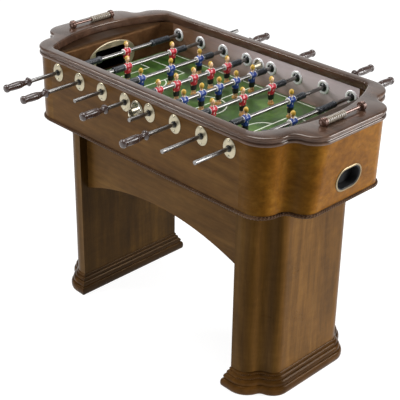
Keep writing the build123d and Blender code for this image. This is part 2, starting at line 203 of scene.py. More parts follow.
def metal(name, colour, roughness, brushed=(1, 1, 1), metallic=1.0, tarnish=0.12, coat=0.0, grain=0.06):
    look = Look(name, Metallic=metallic, Coat_Weight=coat, Coat_Roughness=0.2)
    fine = look.noise(look.place(brushed), 420.0, 2.0, 0.5)
    patch = look.noise(look.place(), 46.0, 4.0, 0.6, 0.6)
    shade = look.span(patch, 0.3, 0.7, 1.0 - tarnish, 1.0 + tarnish * 0.6)
    look.shade("Base Color", look.mix(1.0, srgb(*colour), shade, "MULTIPLY"))
    look.shade("Roughness", look.span(patch, 0.3, 0.7, roughness * 0.8, roughness * 1.25))
    look.bump(fine, grain, 0.0002)
    return look.material


def plastic(name, colour, roughness=0.35, grain=0.05, coat=0.0, mottling=0.10, scale=260.0):
    look = Look(name, Coat_Weight=coat, Coat_Roughness=0.16)
    patch = look.noise(look.place(), 55.0, 3.0, 0.55)
    shade = look.span(patch, 0.3, 0.7, 1.0 - mottling, 1.0 + mottling)
    look.shade("Base Color", look.mix(1.0, srgb(*colour), shade, "MULTIPLY"))
    look.shade("Roughness", look.span(patch, 0.3, 0.7, roughness * 0.85, roughness * 1.15))
    look.bump(look.noise(look.place(), scale, 3.0, 0.6), grain, 0.0003)
    return look.material


def field_look():
    """Printed pitch: mown green with soft dark patches, white lines laid out round the origin."""
    look = Look("field_print", Coat_Weight=0.12, Coat_Roughness=0.25)
    even = look.place()
    split = look.node("SeparateXYZ", {"Vector": even}).outputs
    x_abs = look.math("ABSOLUTE", split["X"])
    y_abs = look.math("ABSOLUTE", split["Y"])
    half = 0.0021  # half the width of a painted line

    def near(value, target):
        return look.math("LESS_THAN", look.math("ABSOLUTE", look.math("SUBTRACT", value, target)), half)

    def under(value, limit):
        return look.math("LESS_THAN", value, limit)

    def both(*parts):
        result = parts[0]
        for part in parts[1:]:
            result = look.math("MULTIPLY", result, part)
        return result

    def ring(centre_x, radius, across):
        flat = look.math("SUBTRACT", across, centre_x)
        squares = look.math("ADD", look.math("POWER", flat, 2.0), look.math("POWER", y_abs, 2.0))
        return near(look.math("SQRT", squares), radius)

    lines = [both(near(x_abs, 0.0), under(y_abs, 0.25)), ring(0.0, 0.075, x_abs)]
    lines.append(both(near(x_abs, 0.245), under(y_abs, 0.151)))
    lines.append(both(near(y_abs, 0.149), look.math("GREATER_THAN", x_abs, 0.243), under(x_abs, 0.4405)))
    lines.append(both(near(x_abs, 0.364), under(y_abs, 0.097)))
    lines.append(both(near(y_abs, 0.095), look.math("GREATER_THAN", x_abs, 0.362), under(x_abs, 0.4405)))
    lines.append(both(ring(0.262, 0.060, x_abs), under(x_abs, 0.245)))
    lines.append(both(near(x_abs, 0.4385), under(y_abs, 0.2475)))
    lines.append(both(near(y_abs, 0.2455), under(x_abs, 0.4405)))
    paint = lines[0]
    for line in lines[1:]:
        paint = look.math("MAXIMUM", paint, line)
    patch = look.noise(even, 9.0, 4.0, 0.6, 0.8)
    blades = look.noise(even, 520.0, 2.0, 0.6)
    green = look.ramp(patch, (0.34, srgb(24, 45, 13)), (0.50, srgb(50, 81, 28)), (0.68, srgb(84, 114, 48)))
    green = look.mix(1.0, green, look.span(blades, 0.3, 0.7, 0.86, 1.1), "MULTIPLY")
    look.shade("Base Color", look.mix(paint, green, srgb(206, 210, 196)))
    look.shade("Roughness", look.span(patch, 0.3, 0.7, 0.34, 0.46))
    look.bump(blades, 0.08, 0.0002)
    return look.material


FLAT_GRAIN = (0.09, 1.0, 1.0)
UP_GRAIN = (1.0, 1.0, 0.09)
CROSS_GRAIN = (1.0, 0.09, 1.0)
PANEL = wood("panel_veneer", (56, 34, 13), (84, 57, 26), (106, 76, 38), FLAT_GRAIN, 0.35, 0.32)
# Painted shade: faces of the end veneer that turn to look along Y are darkened.
END = wood("end_veneer", (96, 58, 12), (122, 78, 22), (148, 103, 37), FLAT_GRAIN, 0.75, 0.28, level=0.09,
           side_shade=(0.52, 0.60, 1.15, 1.0))
# Painted shade: faces of the leg veneer that look along Y are darkened.
LEG = wood("leg_veneer", (74, 48, 15), (99, 67, 27), (124, 88, 42), UP_GRAIN, 0.35, 0.32,
           side_shade=(0.64, 0.68, 0.66, 1.0))
# Painted shade: a darker copy of the leg veneer for the legs' inner faces.
LEG_SHADED = wood("leg_painted_shade_veneer", (30, 18, 3), (52, 34, 9), (74, 51, 18), UP_GRAIN, 0.35, 0.34)
APRON = wood("apron_veneer", (56, 36, 12), (82, 56, 24), (102, 74, 36), FLAT_GRAIN, 0.35, 0.34)
BASE = wood("base_wood", (35, 19, 4), (63, 39, 11), (95, 62, 24), CROSS_GRAIN, 0.4, 0.26, 0.09, level=0.08)
# Painted shade: a darker copy of the base wood for the bases' inner faces.
BASE_SHADED = wood("base_painted_shade_wood", (20, 11, 3), (36, 22, 7), (58, 38, 16), CROSS_GRAIN, 0.4, 0.28, 0.04)
# Painted shade: faces of the rail that look up are darkened, so its sides read lighter than its top.
RAIL = wood("rail_wood", (54, 37, 28), (80, 57, 44), (102, 78, 63), FLAT_GRAIN, 0.35, 0.30, 0.8, top_shade=0.66)
INNER = wood("inner_wall_wood", (60, 38, 22), (88, 60, 40), (110, 80, 56), FLAT_GRAIN, 0.4, 0.24, 0.35)
# Painted shade: faces of the goal walls that look up are strongly darkened, so the deck reads as dark as the
# wall.
GOAL_WALL = wood("goal_wall_wood", (58, 36, 20), (86, 58, 37), (110, 79, 54), FLAT_GRAIN, 0.4, 0.36,
                 level=0.2, top_shade=0.22)
# Painted light: a lighter copy of the inner wall wood, with a painted pale sheen of glare growing along X.
LIT_BACK_WALL = wood("back_wall_wood_painted_sheen", (86, 61, 46), (122, 91, 71), (150, 118, 97), FLAT_GRAIN, 0.4, 0.24, 0.5,
                 painted_sheen=(-0.32, 0.10, 0.95, srgb(222, 208, 212)))
BEAD = wood("bead_wood", (44, 28, 19), (70, 49, 34), (100, 75, 55), FLAT_GRAIN, 0.4, 0.32, 0.08)
FIELD = field_look()
CHAMPAGNE = metal("champagne_plating", (184, 175, 150), 0.30, (1, 1, 0.2), 0.92, 0.24)
CUP_METAL = metal("entry_cup_plating", (150, 143, 126), 0.24, (1, 1, 1), 0.95, 0.2)
OUTLET_METAL = metal("outlet_ring_plating", (150, 134, 104), 0.34, (1, 1, 1), 0.75, 0.14)
GOAL_METAL = metal("goal_plate_plating", (176, 164, 138), 0.36, (1, 0.15, 1), 0.7, 0.14)
CHROME = metal("rod_chrome", (140, 138, 136), 0.32, (1, 1, 1), 1.0, 0.04, 0.0, 0.02)
RING = metal("bearing_ring_chrome", (246, 246, 248), 0.28, (1, 1, 1), 0.35, 0.08)
SCREW = metal("screw_steel", (206, 200, 180), 0.25, (1, 1, 1), 1.0, 0.10)
BRONZE = metal("bronzed_knob", (96, 66, 54), 0.20, (1, 1, 1), 0.55, 0.2, 0.6)
BLACK = plastic("bush_black", (22, 23, 25), 0.3, 0.05, 0.3)
TRAY = plastic("tray_black", (9, 10, 12), 0.55, 0.1)
# Painted shade: flat black for hidden inside faces that lie in shade.
CAVITY_SHADE = plastic("cavity_painted_shade_black", (12, 11, 10), 0.7, 0.2)
RUBBER = plastic("bumper_rubber", (36, 40, 46), 0.40, 0.10, 0.15)
GRIP = plastic("grip_dark_brown", (52, 34, 28), 0.28, 0.0, 0.55, 0.22)
BEADS = plastic("score_bead_cream", (122, 112, 98), 0.26, 0.03, 0.6, 0.08)
SKIN = plastic("figure_skin", (244, 200, 156), 0.36, 0.03, 0.3, 0.06)
HAIR = plastic("figure_hair", (186, 150, 52), 0.42, 0.2, 0.1, 0.25, 700.0)
RED = plastic("figure_red_shirt", (186, 30, 50), 0.32, 0.03, 0.4, 0.10)
BLUE = plastic("figure_blue_shirt", (26, 58, 136), 0.32, 0.03, 0.4, 0.12)
WHITE = plastic("figure_white_trim", (232, 230, 228), 0.32, 0.03, 0.4, 0.04)
SHORTS = plastic("figure_black_shorts", (20, 19, 22), 0.34, 0.03, 0.3, 0.1)
BOOT = plastic("figure_tan_foot", (212, 158, 88), 0.4, 0.04, 0.2, 0.1)
EYE = plastic("figure_eye_paint", (50, 38, 30), 0.3, 0.0)


# ---- mesh helpers --------------------------------------------
class Shape:
    """Collects faces in millimetres, each with a material, and makes one object of them."""

    def __init__(self):
        self.points = []
        self.faces = []
        self.looks = []
        self.materials = []

    def slot_of(self, material):
        if material not in self.materials:
            self.materials.append(material)
        return self.materials.index(material)

    def add(self, points, faces, material, matrix=None):
        start = len(self.points)
        slot = self.slot_of(material)
        for point in points:
            point = Vector(point)
            self.points.append(matrix @ point if matrix else point)
        for face in faces:
            self.faces.append([start + i for i in face])
            self.looks.append(slot)

    def loops(self, loops, material, matrix=None, around=False):
        """Skins a row of loops with the same number of points."""
        count = len(loops[0])
        points = [p for loop in loops for p in loop]
        faces = []
        rows = len(loops)
        for row in range(rows if around else rows - 1):
            here, there = row * count, ((row + 1) % rows) * count
            for i in range(count):
                j = (i + 1) % count
                faces.append((here + i, here + j, there + j, there + i))
        if not around:
            faces.append(tuple(range(count))[::-1])
            faces.append(tuple((rows - 1) * count + i for i in range(count)))
        self.add(points, faces, material, matrix)

    def lathe(self, profile, material, matrix=None, segments=32, around=False):
        """Turns (radius, z) points about Z. A radius of 0 closes an end; around joins last to first."""
        points, faces, rings = [], [], []
        for radius, z in profile:
            if radius < 1e-6:
                rings.append([len(points)])
                points.append((0, 0, z))
                continue
            rings.append(list(range(len(points), len(points) + segments)))
            for i in range(segments):
                turn = 2 * math.pi * i / segments
                points.append((radius * math.cos(turn), radius * math.sin(turn), z))
        pairs = list(zip(rings, rings[1:]))
        if around:
            pairs.append((rings[-1], rings[0]))
        for low, high in pairs:
            for i in range(segments):
                j = (i + 1) % segments
                if len(low) == 1 and len(high) == 1:
                    break
                if len(low) == 1:
                    faces.append((low[0], high[j], high[i]))
                elif len(high) == 1:
                    faces.append((low[i], low[j], high[0]))
                else:
                    faces.append((low[i], low[j], high[j], high[i]))
        self.add(points, faces, material, matrix)

    def make(self, name, body, sharp=35.0, replaces=(), slot=None):
        mesh = bpy.data.meshes.new(name)
        mesh.from_pydata([p * MM for p in self.points], [], self.faces)
        for material in self.materials:
            mesh.materials.append(material)
        for polygon, look in zip(mesh.polygons, self.looks):
            polygon.material_index = look
            polygon.use_smooth = True
        work = bmesh.new()
        work.from_mesh(mesh)
        bmesh.ops.recalc_face_normals(work, faces=work.faces)
        work.to_mesh(mesh)
        work.free()
        mesh.set_sharp_from_angle(angle=math.radians(sharp))
        return self.attach(linked(name, mesh), body, replaces, slot)

    @staticmethod
    def attach(obj, body, replaces=(), slot=None):
        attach(obj, body)
        if replaces:
            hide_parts(*replaces)
        return obj


def linked(name, data):
    obj = bpy.data.objects.new(name, data)
    bpy.context.scene.collection.objects.link(obj)
    return obj


def second_look(mesh, material, chosen):
    """Faces for which chosen(face) is true take another material."""
    mesh.materials.append(material)
    for polygon in mesh.polygons:
        if chosen(polygon):
            polygon.material_index = 1


def at(x=0.0, y=0.0, z=0.0):
    return Matrix.Translation((x, y, z))


def along_y(x, y, z, side=1):
    """Turns +Z into +Y (or -Y for side -1) and moves to a point."""
    return at(x, y, z) @ Matrix.Rotation(math.radians(-90 * side), 4, "X")


def corner_points(radii, turns, steps):
    """Convex, hollow, convex corner, heading +X and turning to +Y."""
    first, hollow, last = radii
    a, b = math.radians(turns[0]), math.radians(turns[0] - turns[1])
    points = []
    for i in range(steps):
        t = a * i / steps
        points.append((first * math.sin(t), first * (1 - math.cos(t))))
    p = (first * math.sin(a), first * (1 - math.cos(a)))
    for i in range(steps):
        t = a + (b - a) * i / steps
        along, across = math.sin(a) - math.sin(t), math.cos(t) - math.cos(a)
        points.append((p[0] + hollow * along, p[1] + hollow * across))
    p = (p[0] + hollow * (math.sin(a) - math.sin(b)), p[1] + hollow * (math.cos(b) - math.cos(a)))
    for i in range(steps + 1):
        t = b + (math.pi / 2 - b) * i / steps
        points.append((p[0] + last * (math.sin(t) - math.sin(b)), p[1] + last * (math.cos(b) - math.cos(t))))
    return points


def outline(half_l, half_w, radii, turns, z, grow=0.0, inner=None, steps=9):
    """Closed table outline grown outward. With inner, the left side is one straight line there."""
    radii = (radii[0] + grow, radii[1] - grow, radii[2] + grow)
    half_l, half_w = half_l + grow, half_w + grow
    corner = corner_points(radii, turns, steps)
    shift = half_l - corner[-1][0]
    front = [(x + shift, y - half_w) for x, y in corner]
    right = front + [(x, -y) for x, y in reversed(front)]
    if inner is None:
        right += [(-x, y) for x, y in reversed(right)]
    else:
        right += [(inner - 0.7 * grow, half_w), (inner - 0.7 * grow, -half_w)]
    return [Vector((x, y, z)) for x, y in right]


TURNS = (90.0, 80.0)
RIM = (607.0, 287.0, (82.0, 32.0, 65.0), TURNS)
WALL_LOW = (583.0, 278.0, (66.0, 38.0, 48.0), TURNS)
WALL_TOP = (599.0, 278.0, (73.0, 41.0, 56.0), TURNS)
LEG_LINE = (488.0, 220.0, (48.5, 50.0, 37.5), (70.0, 52.0))
LEG_IN = 364.0
BASE_REACH = 27.0
SEAM_X = 424.0


def mesh_of(node):
    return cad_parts[node].data


def repaint(node, material):
    mesh = mesh_of(node)
    mesh.materials.clear()
    mesh.materials.append(material)
    for polygon in mesh.polygons:
        polygon.material_index = 0


# ---- top rails -----------------------------------------------
def opening(z, grow=0.0, count=36):
    """Opening of the rails as a loop that starts at the middle of the front side."""
    length, width, bulge, turn_r = 445.0, 254.0, 70.0, 30.0
    radius = (width**2 + bulge**2) / (2 * bulge)
    centre = length + bulge - radius
    inner_y = width - turn_r
    inner_x = centre + math.sqrt((radius - turn_r) ** 2 - inner_y**2)
    width, radius, turn_r = width + grow, radius + grow, turn_r + grow
    reach = math.atan2(inner_y, inner_x - centre)
    right = []
    for i in range(10):
        t = -math.pi / 2 + (math.pi / 2 - reach) * i / 10
        right.append((inner_x + turn_r * math.cos(t), -inner_y + turn_r * math.sin(t)))
    for i in range(count + 1):
        t = -reach + 2 * reach * i / count
        right.append((centre + radius * math.cos(t), radius * math.sin(t)))
    right += [(x, -y) for x, y in reversed(right[:10])]
    loop = right + [(-x, y) for x, y in reversed(right)]
    return [Vector((x, y, z)) for x, y in loop]


def rail_ring():
    """The whole moulded rim: bead, cove and bead outside, flat top, eased inner edge."""
    outer = [(-30.0, 891.0), (-4.0, 891.0), (-1.6, 892.0), (-0.3, 894.4), (-0.3, 897.2), (-1.6, 899.6)]
    outer += [(-4.2, 900.6), (-5.6, 902.0), (-6.0, 904.8), (-5.6, 907.6), (-4.2, 909.0), (-1.6, 910.2)]
    outer += [(-0.3, 912.4), (-0.4, 915.0), (-1.8, 917.2), (-4.4, 918.5), (-8.0, 919.0)]
    inner = [(4.5, 919.0), (1.8, 918.4), (0.4, 916.6), (0.0, 914.0), (0.0, 895.0), (0.8, 892.2), (3.0, 891.0)]
    inner += [(6.0, 891.0)]
    work = bmesh.new()

    def skin(loops):
        rows = [[work.verts.new(p * MM) for p in loop] for loop in loops]
        for low, high in zip(rows, rows[1:]):
            for i in range(len(low)):
                j = (i + 1) % len(low)
                work.faces.new((low[i], low[j], high[j], high[i]))
        return rows[0], rows[-1]

    outer_low, outer_high = skin([outline(*RIM, z, grow, steps=12) for grow, z in outer])
    inner_high, inner_low = skin([opening(z, grow) for grow, z in inner])
    for one, two in ((outer_high, inner_high), (outer_low, inner_low)):
        edges = []
        for ring in (one, two):
            for i in range(len(ring)):
                edges.append(work.edges.get((ring[i], ring[(i + 1) % len(ring)])))
        bmesh.ops.triangle_fill(work, edges=edges, use_beauty=True)
    bmesh.ops.recalc_face_normals(work, faces=work.faces)
    return work


def cut_rail(whole, planes):
    """A copy of the rim kept on the inner side of each (point, normal) plane, with closed ends."""
    work = whole.copy()
    for point, normal in planes:
        everything = list(work.verts) + list(work.edges) + list(work.faces)
        cut = bmesh.ops.bisect_plane(work, geom=everything, plane_co=point, plane_no=normal, clear_outer=True)
        edges = [e for e in cut["geom_cut"] if isinstance(e, bmesh.types.BMEdge)]
        bmesh.ops.triangle_fill(work, edges=edges, use_beauty=True)
    bmesh.ops.recalc_face_normals(work, faces=work.faces)
    return work


def top_rails():
    whole = rail_ring()
    seam = (SEAM_X - 0.12) * MM
    gap = (SEAM_X + 0.12) * MM
    pieces = {
        "front_top_rail": [((seam, 0, 0), (1, 0, 0)), ((-seam, 0, 0), (-1, 0, 0)), ((0, 0, 0), (0, 1, 0))],
        "back_top_rail": [((seam, 0, 0), (1, 0, 0)), ((-seam, 0, 0), (-1, 0, 0)), ((0, 0, 0), (0, -1, 0))],
        "right_top_rail": [((gap, 0, 0), (-1, 0, 0))],
        "left_top_rail": [((-gap, 0, 0), (1, 0, 0))],
    }
    for node, planes in pieces.items():
        work = cut_rail(whole, planes)
        mesh = bpy.data.meshes.new(node + "_moulded")
        work.to_mesh(mesh)
        work.free()
        mesh.materials.append(RAIL)
        for polygon in mesh.polygons:
            polygon.use_smooth = True
        mesh.set_sharp_from_angle(angle=math.radians(40))
        Shape.attach(linked(node + "_moulded", mesh), "table", (node,), "rail_wood")
    whole.free()


# ---- cabinet trim and pedestals ------------------------------
def wall_path(z):
    share = (z - CABINET_FOOT) / (RAIL_LOW - CABINET_FOOT)
    low = outline(*WALL_LOW, z, steps=16)
    top = outline(*WALL_TOP, z, steps=16)
    return [a.lerp(b, share) for a, b in zip(low, top)]


def rope_bead():
    """Twisted rope moulding in a small rebate strip round the cabinet's foot."""
    path = wall_path(670.2)
    pitch, lobes, step = 10.0, 2, 1.6
    lengths = [(path[(i + 1) % len(path)] - path[i]).length for i in range(len(path))]
    total = sum(lengths)
    count = int(total / step)
    around = 12
    loops = []
    index, passed = 0, 0.0
    for k in range(count):
        want = total * k / count
        while passed + lengths[index] < want:
            passed += lengths[index]
            index += 1
        a, b = path[index], path[(index + 1) % len(path)]
        before, after = path[index - 1], path[(index + 2) % len(path)]
        share = (want - passed) / lengths[index]
        centre = a.lerp(b, share)
        heading = ((b - a).normalized() * 1.0 + (a - before).normalized() * (1 - share) * 0.5
                   + (after - b).normalized() * share * 0.5).normalized()
        out = Vector((heading.y, -heading.x, 0))
        twist = 2 * math.pi * round(total / pitch) * k / count
        loop = []
        for i in range(around):
            turn = 2 * math.pi * i / around
            radius = 4.5 + 1.15 * math.cos(lobes * turn - twist)
            lift = Vector((0, 0, radius * math.sin(turn)))
            loop.append(centre + out * (1.3 + radius * math.cos(turn)) + lift)
        loops.append(loop)
    rope = Shape()
    rope.loops(loops, BEAD, around=True)
    strip = [(0.6, 664.0), (3.2, 664.0), (3.9, 664.7), (3.6, 665.6), (0.6, 666.0)]
    for band in (strip, [(g, 1340.0 - z) for g, z in strip]):
        rope.loops([grown(wall_path, z, g - 1.5) for g, z in band], BEAD, around=True)
    rope.make("rope_bead_moulding", "table", 60, ("bead_moulding",), "edge_wood")


def grown(path_of, z, grow):
    """A path at height z pushed outward by grow."""
    path = path_of(z)
    count = len(path)
    result = []
    for i, point in enumerate(path):
        heading = (path[(i + 1) % count] - path[i - 1]).normalized()
        result.append(point + Vector((heading.y, -heading.x, 0)) * grow)
    return result


def leg_bases():
    """Rounded plinth and three smaller ovolos parted by fillets, drawn round the pedestal's outline."""
    profile = [(14.6, 0.0), (16.6, 1.0), (18.0, 4.0), (18.8, 9.0), (19.0, 14.5), (18.7, 20.0), (17.8, 24.6)]
    profile += [(16.2, 28.2), (14.6, 29.8), (13.0, 30.4), (12.6, 31.2), (12.6, 33.4), (13.6, 34.4)]
    profile += [(13.8, 37.0), (13.2, 41.0), (11.8, 44.4), (9.6, 47.2), (8.2, 48.4), (7.0, 48.8), (6.8, 50.4)]
    profile += [(7.6, 51.4), (7.7, 54.0), (6.6, 57.2), (4.4, 59.8), (3.0, 60.8), (2.2, 61.4), (2.2, 63.4)]
    profile += [(3.0, 64.4), (2.6, 67.4), (1.4, 69.8), (-0.2, 71.4), (-1.5, 72.0)]
    widest = max(grow for grow, z in profile)
    for side, name in ENDS:
        shape = Shape()
        flip = Matrix.Scale(side, 4, (1, 0, 0))
        rows = [outline(*LEG_LINE, z, grow * BASE_REACH / widest, LEG_IN, 12) for grow, z in profile]
        shape.loops(rows, BASE, flip)
        base = shape.make(name + "_moulded_base", "table", 32, (name + "_leg_base",), "leg_wood")
        # Painted shade: the bases' inner faces take the darker copy of the base wood.
        second_look(base.data, BASE_SHADED, lambda face: face.normal.x * side < -0.6)


def paint_cabinet():
    for node in ("front_panel", "back_panel"):
        repaint(node, PANEL)
    for node in ("left_end_panel", "right_end_panel"):
        repaint(node, END)
    for node in ("left_leg", "right_leg"):
        repaint(node, LEG)
    repaint("aprons", APRON)
    for node in ("left_inner_end", "right_inner_end"):
        repaint(node, GOAL_WALL)
    repaint("cabinet_floor", INNER)
    # Painted shade: the cabinet floor's upper and side faces, seen only through the openings, are painted
    # black.
    second_look(mesh_of("cabinet_floor"), CAVITY_SHADE, lambda face: face.normal.z > -0.5)
    # Painted shade: the legs' inner faces take the darker copy of the leg veneer.
    for node, side in (("left_leg", 1), ("right_leg", -1)):
        second_look(mesh_of(node), LEG_SHADED, lambda face: face.normal.x * side > 0.9)
    repaint("playfield", FIELD)
    repaint("ball_trays", TRAY)
    paint_inside_faces("front_panel", INNER)
    # Painted light: the back wall's inside faces take the lighter wood with the painted sheen.
    paint_inside_faces("back_panel", LIT_BACK_WALL)
    # Painted shade: the end panels' inside faces and outlet edges are painted black.
    for node in ("left_end_panel", "right_end_panel"):
        paint_inside_faces(node, CAVITY_SHADE)

    # Painted shade: the goal walls' hidden faces behind the goal plates are painted black.
    def behind_the_goal(face):
        return abs(face.center.x) > 0.4485 and face.center.z < 0.8895 and face.normal.z < 0.3

    for node in ("left_inner_end", "right_inner_end"):
        second_look(mesh_of(node), CAVITY_SHADE, behind_the_goal)


def paint_inside_faces(node, finish):
    """Faces that look into the cabinet take the inside finish; with the black painted-shade finish, the
    outlet's edge takes it too.
    """
    def inside(face):
        normal, centre = face.normal, face.center
        inward = normal.x * centre.x + normal.y * centre.y < -0.05 * centre.length
        in_outlet = abs(centre.y) < 0.0575 and 0.705 < centre.z < 0.785 and abs(normal.x) < 0.9
        within = abs(centre.x) < 0.5605 and abs(centre.y) < 0.2565
        return (finish is CAVITY_SHADE and in_outlet) or (inward and within)

    second_look(mesh_of(node), finish, inside)


# ---- fittings ------------------------------------------------
def ellipse_loop(half_x, half_z, y, count=48):
    turns = [2 * math.pi * i / count for i in range(count)]
    return [Vector((half_x * math.cos(t), y, half_z * math.sin(t))) for t in turns]


def escutcheons():
    """Domed oval plates with a rolled edge and a raised seat for the bush."""
    for side, name in SIDES:
        shape = Shape()
        for number in RODS:
            spot = at(rod_x(number), side * WALL_Y, ROD_Z)
            rows = [(24.0, 30.0, 0.0), (24.0, 30.0, 1.0), (23.2, 29.2, 1.9), (21.6, 27.6, 2.3)]
            rows += [(16.0, 21.5, 2.75), (12.4, 15.0, 2.95), (10.4, 10.4, 3.0), (10.3, 10.3, 0.0)]
            loops = [ellipse_loop(a, b, side * y) for a, b, y in rows]
            shape.loops(loops, CHAMPAGNE, spot, around=True)
        shape.make(name + "_escutcheon_plates", "table", 40, ("escutcheons",), "champagne_metal")


def screws():
    """Pan heads with a cross recess."""
    shape = Shape()
    plate_face, rise = 280.2, 22.5
    for number in RODS:
        for side in (-1, 1):
            for up in (-1, 1):
                spot = along_y(rod_x(number), side * plate_face, ROD_Z + up * rise, side)
                profile = [(3.4, 0.0), (3.5, 0.5), (3.3, 1.3), (2.6, 1.95), (1.9, 2.25)]
                shape.lathe(profile, SCREW, spot, 16)
                shape.lathe([(1.9, 2.25), (0.6, 1.6), (0.0, 1.5)], SCREW, spot, 4)
    shape.make("escutcheon_screw_heads", "table", 40, ("escutcheon_screws",), "screw_metal")


def bushes():
    """Black bush with a rounded nose outside and a chrome ring with a black boss inside."""
    outside = [(6.5, 0.6), (6.9, 0.0), (7.6, 0.0), (8.5, 0.5), (8.9, 1.6), (9.0, 3.0), (9.2, 9.0), (6.5, 9.0)]
    inside = [(6.9, 0.0), (8.4, 0.2), (9.8, 1.2), (10.0, 2.6), (12.4, 3.6), (13.6, 4.4), (13.9, 5.2)]
    inside += [(13.9, 6.9), (6.9, 6.9)]
    ring = [(13.9, 6.9), (14.4, 4.6), (16.4, 3.95), (19.5, 3.95), (21.6, 4.4), (22.8, 5.4), (23.0, 6.95)]
    nose_y, inner_y = 287.0, 249.0
    black, rings = Shape(), Shape()
    for number in RODS:
        for side in (-1, 1):
            black.lathe(outside, BLACK, along_y(rod_x(number), side * nose_y, ROD_Z, -side), 32, True)
            black.lathe(inside, BLACK, along_y(rod_x(number), side * inner_y, ROD_Z, side), 32, True)
            rings.lathe(ring, RING, along_y(rod_x(number), side * inner_y, ROD_Z, side), 40, True)
    black.make("rod_bush_bodies", "table", 40, ("rod_bushes",), "black_plastic")
    rings.make("inner_bearing_rings", "table", 40, (), "screw_metal")


def ball_cups():
    """Side entry: flanged cup with a rolled rim, a scoop lip below and a ring inside."""
    for side, name in SIDES:
        shape = Shape()
        spot = along_y(0, side * WALL_Y, CUP_Z, side)
        flange = [(20.0, -22.0), (20.0, 3.2), (20.6, 3.9), (22.0, 4.0), (24.6, 3.4), (26.4, 2.2), (27.0, 0.0)]
        flange += [(22.0, 0.0), (22.0, -22.0)]
        shape.lathe(flange, CUP_METAL, spot, 48, True)
        inner_ring = [(20.0, -25.0), (20.4, -25.0), (23.4, -24.2), (24.8, -23.0), (25.0, -22.0)]
        inner_ring += [(20.0, -22.0)]
        shape.lathe(inner_ring, RING, spot, 48, True)
        loops = []
        steps = 28
        for i in range(steps + 1):
            turn = math.pi + math.pi * i / steps
            reach = 4.0 + 22.5 * math.sin(math.pi * i / steps) ** 0.7
            c, s = math.cos(turn), math.sin(turn)
            rows = [(20.1, 3.0), (20.1, reach), (20.6, reach + 0.9), (21.8, reach + 1.2), (23.2, reach + 0.6)]
            rows += [(23.6, reach - 0.4), (23.6, 3.0)]
            loops.append([Vector((r * c, side * y, r * s)) for r, y in rows])
        shape.loops(loops, CUP_METAL, at(0, side * WALL_Y, CUP_Z))
        shape.make(name + "_entry_cup", "table", 40, ("ball_entry_cups",), "champagne_metal")


def slot_loop(wide, high, count=14):
    """Stadium outline in Y and Z."""
    radius = high / 2
    straight = wide / 2 - radius
    loop = []
    for sign in (1, -1):
        for i in range(count + 1):
            turn = math.radians(-90 + 180 * i / count)
            loop.append((sign * (straight + radius * math.cos(turn)), sign * radius * math.sin(turn)))
    return loop


def return_bezels():
    """Rolled metal ring round the ball outlet, on the leaning end wall, and a dark sheet behind it that
    stands in for the shade inside.
    """
    shade_wide, shade_high, shade_z, shade_faces = 110.0, 76.0, 747.5, (558.4, 559.6)
    slope = (WALL_TOP[0] - WALL_LOW[0]) / (RAIL_LOW - CABINET_FOOT)
    ring = [(103.2, -0.4), (106.0, 0.0), (114.0, 0.2), (113.6, 1.6), (111.0, 2.6), (107.0, 3.0), (104.0, 2.6)]
    ring += [(103.2, 1.4)]
    liner = [(103.1, -0.4), (103.1, 1.4), (101.0, 1.2), (97.0, 0.4), (95.2, -1.4), (95.2, -24.0)]
    liner += [(97.4, -24.0), (97.6, -0.4)]
    for side, name in ENDS:
        shape = Shape()
        for rows, finish in ((ring, OUTLET_METAL), (liner, TRAY)):
            loops = []
            for wide, out in rows:
                loop = []
                for y, z in slot_loop(wide, wide - 38.0):
                    x = WALL_LOW[0] + slope * (OUTLET_Z + z - CABINET_FOOT) + out
                    loop.append(Vector((side * x, y, OUTLET_Z + z)))
                loops.append(loop)
            shape.loops(loops, finish, around=True)
        shape.make(name + "_return_bezel", "table", 40, ("return_bezels",), "champagne_metal")
        # Painted shade: a black sheet behind the outlet stands in for the darkness inside the cabinet.
        shade_sheet = Shape()
        sheet = slot_loop(shade_wide, shade_high)
        rows = [[Vector((side * x, y, shade_z + z)) for y, z in sheet] for x in shade_faces]
        shade_sheet.loops(rows, TRAY)
        shade_sheet.make(name + "_outlet_shade_sheet", "table", 40, (), "black_plastic")


def goal_rings():
    """Arched plate with a rolled edge round the goal mouth."""
    def arch(half, top, foot, widest, count=40):
        """Loop of (y, z): up one side, over the crown and down the other."""
        loop = []
        for i in range(count + 1):
            t = math.pi * i / count
            loop.append((half * math.cos(t), widest + (top - widest) * math.sin(t)))
        low = [(-half * 0.985, widest - 14), (-half * 0.95, widest - 28), (-foot, FIELD_Z + 0.3)]
        return loop + low + [(-y, z) for y, z in reversed(low)]

    plate_half, plate_top, plate_foot, widest, mouth_top = 102.0, 878.0, 84.0, 825.0, 856.0
    edge = [(0.0, 447.9), (0.0, 446.4), (1.2, 445.3), (3.0, 445.05), (9.0, 445.6)]
    mouth = [(445.6, 73.6), (446.2, 73.2), (447.9, 73.0)]
    for side, name in ENDS:
        shape = Shape()
        loops = []
        for inset, x in edge:
            points = arch(plate_half - inset, plate_top - inset, plate_foot - inset, widest)
            loops.append([Vector((side * x, y, z)) for y, z in points])
        for x, half in mouth:
            points = []
            for y, z in arch(plate_half, plate_top, plate_foot, widest):
                points.append((max(-half, min(half, y)), max(FIELD_Z + 0.3, min(mouth_top, z))))
            loops.append([Vector((side * x, y, z)) for y, z in points])
        shape.loops(loops, GOAL_METAL, around=True)
        shape.make(name + "_goal_plate", "table", 40, ("goal_plates",), "champagne_metal")


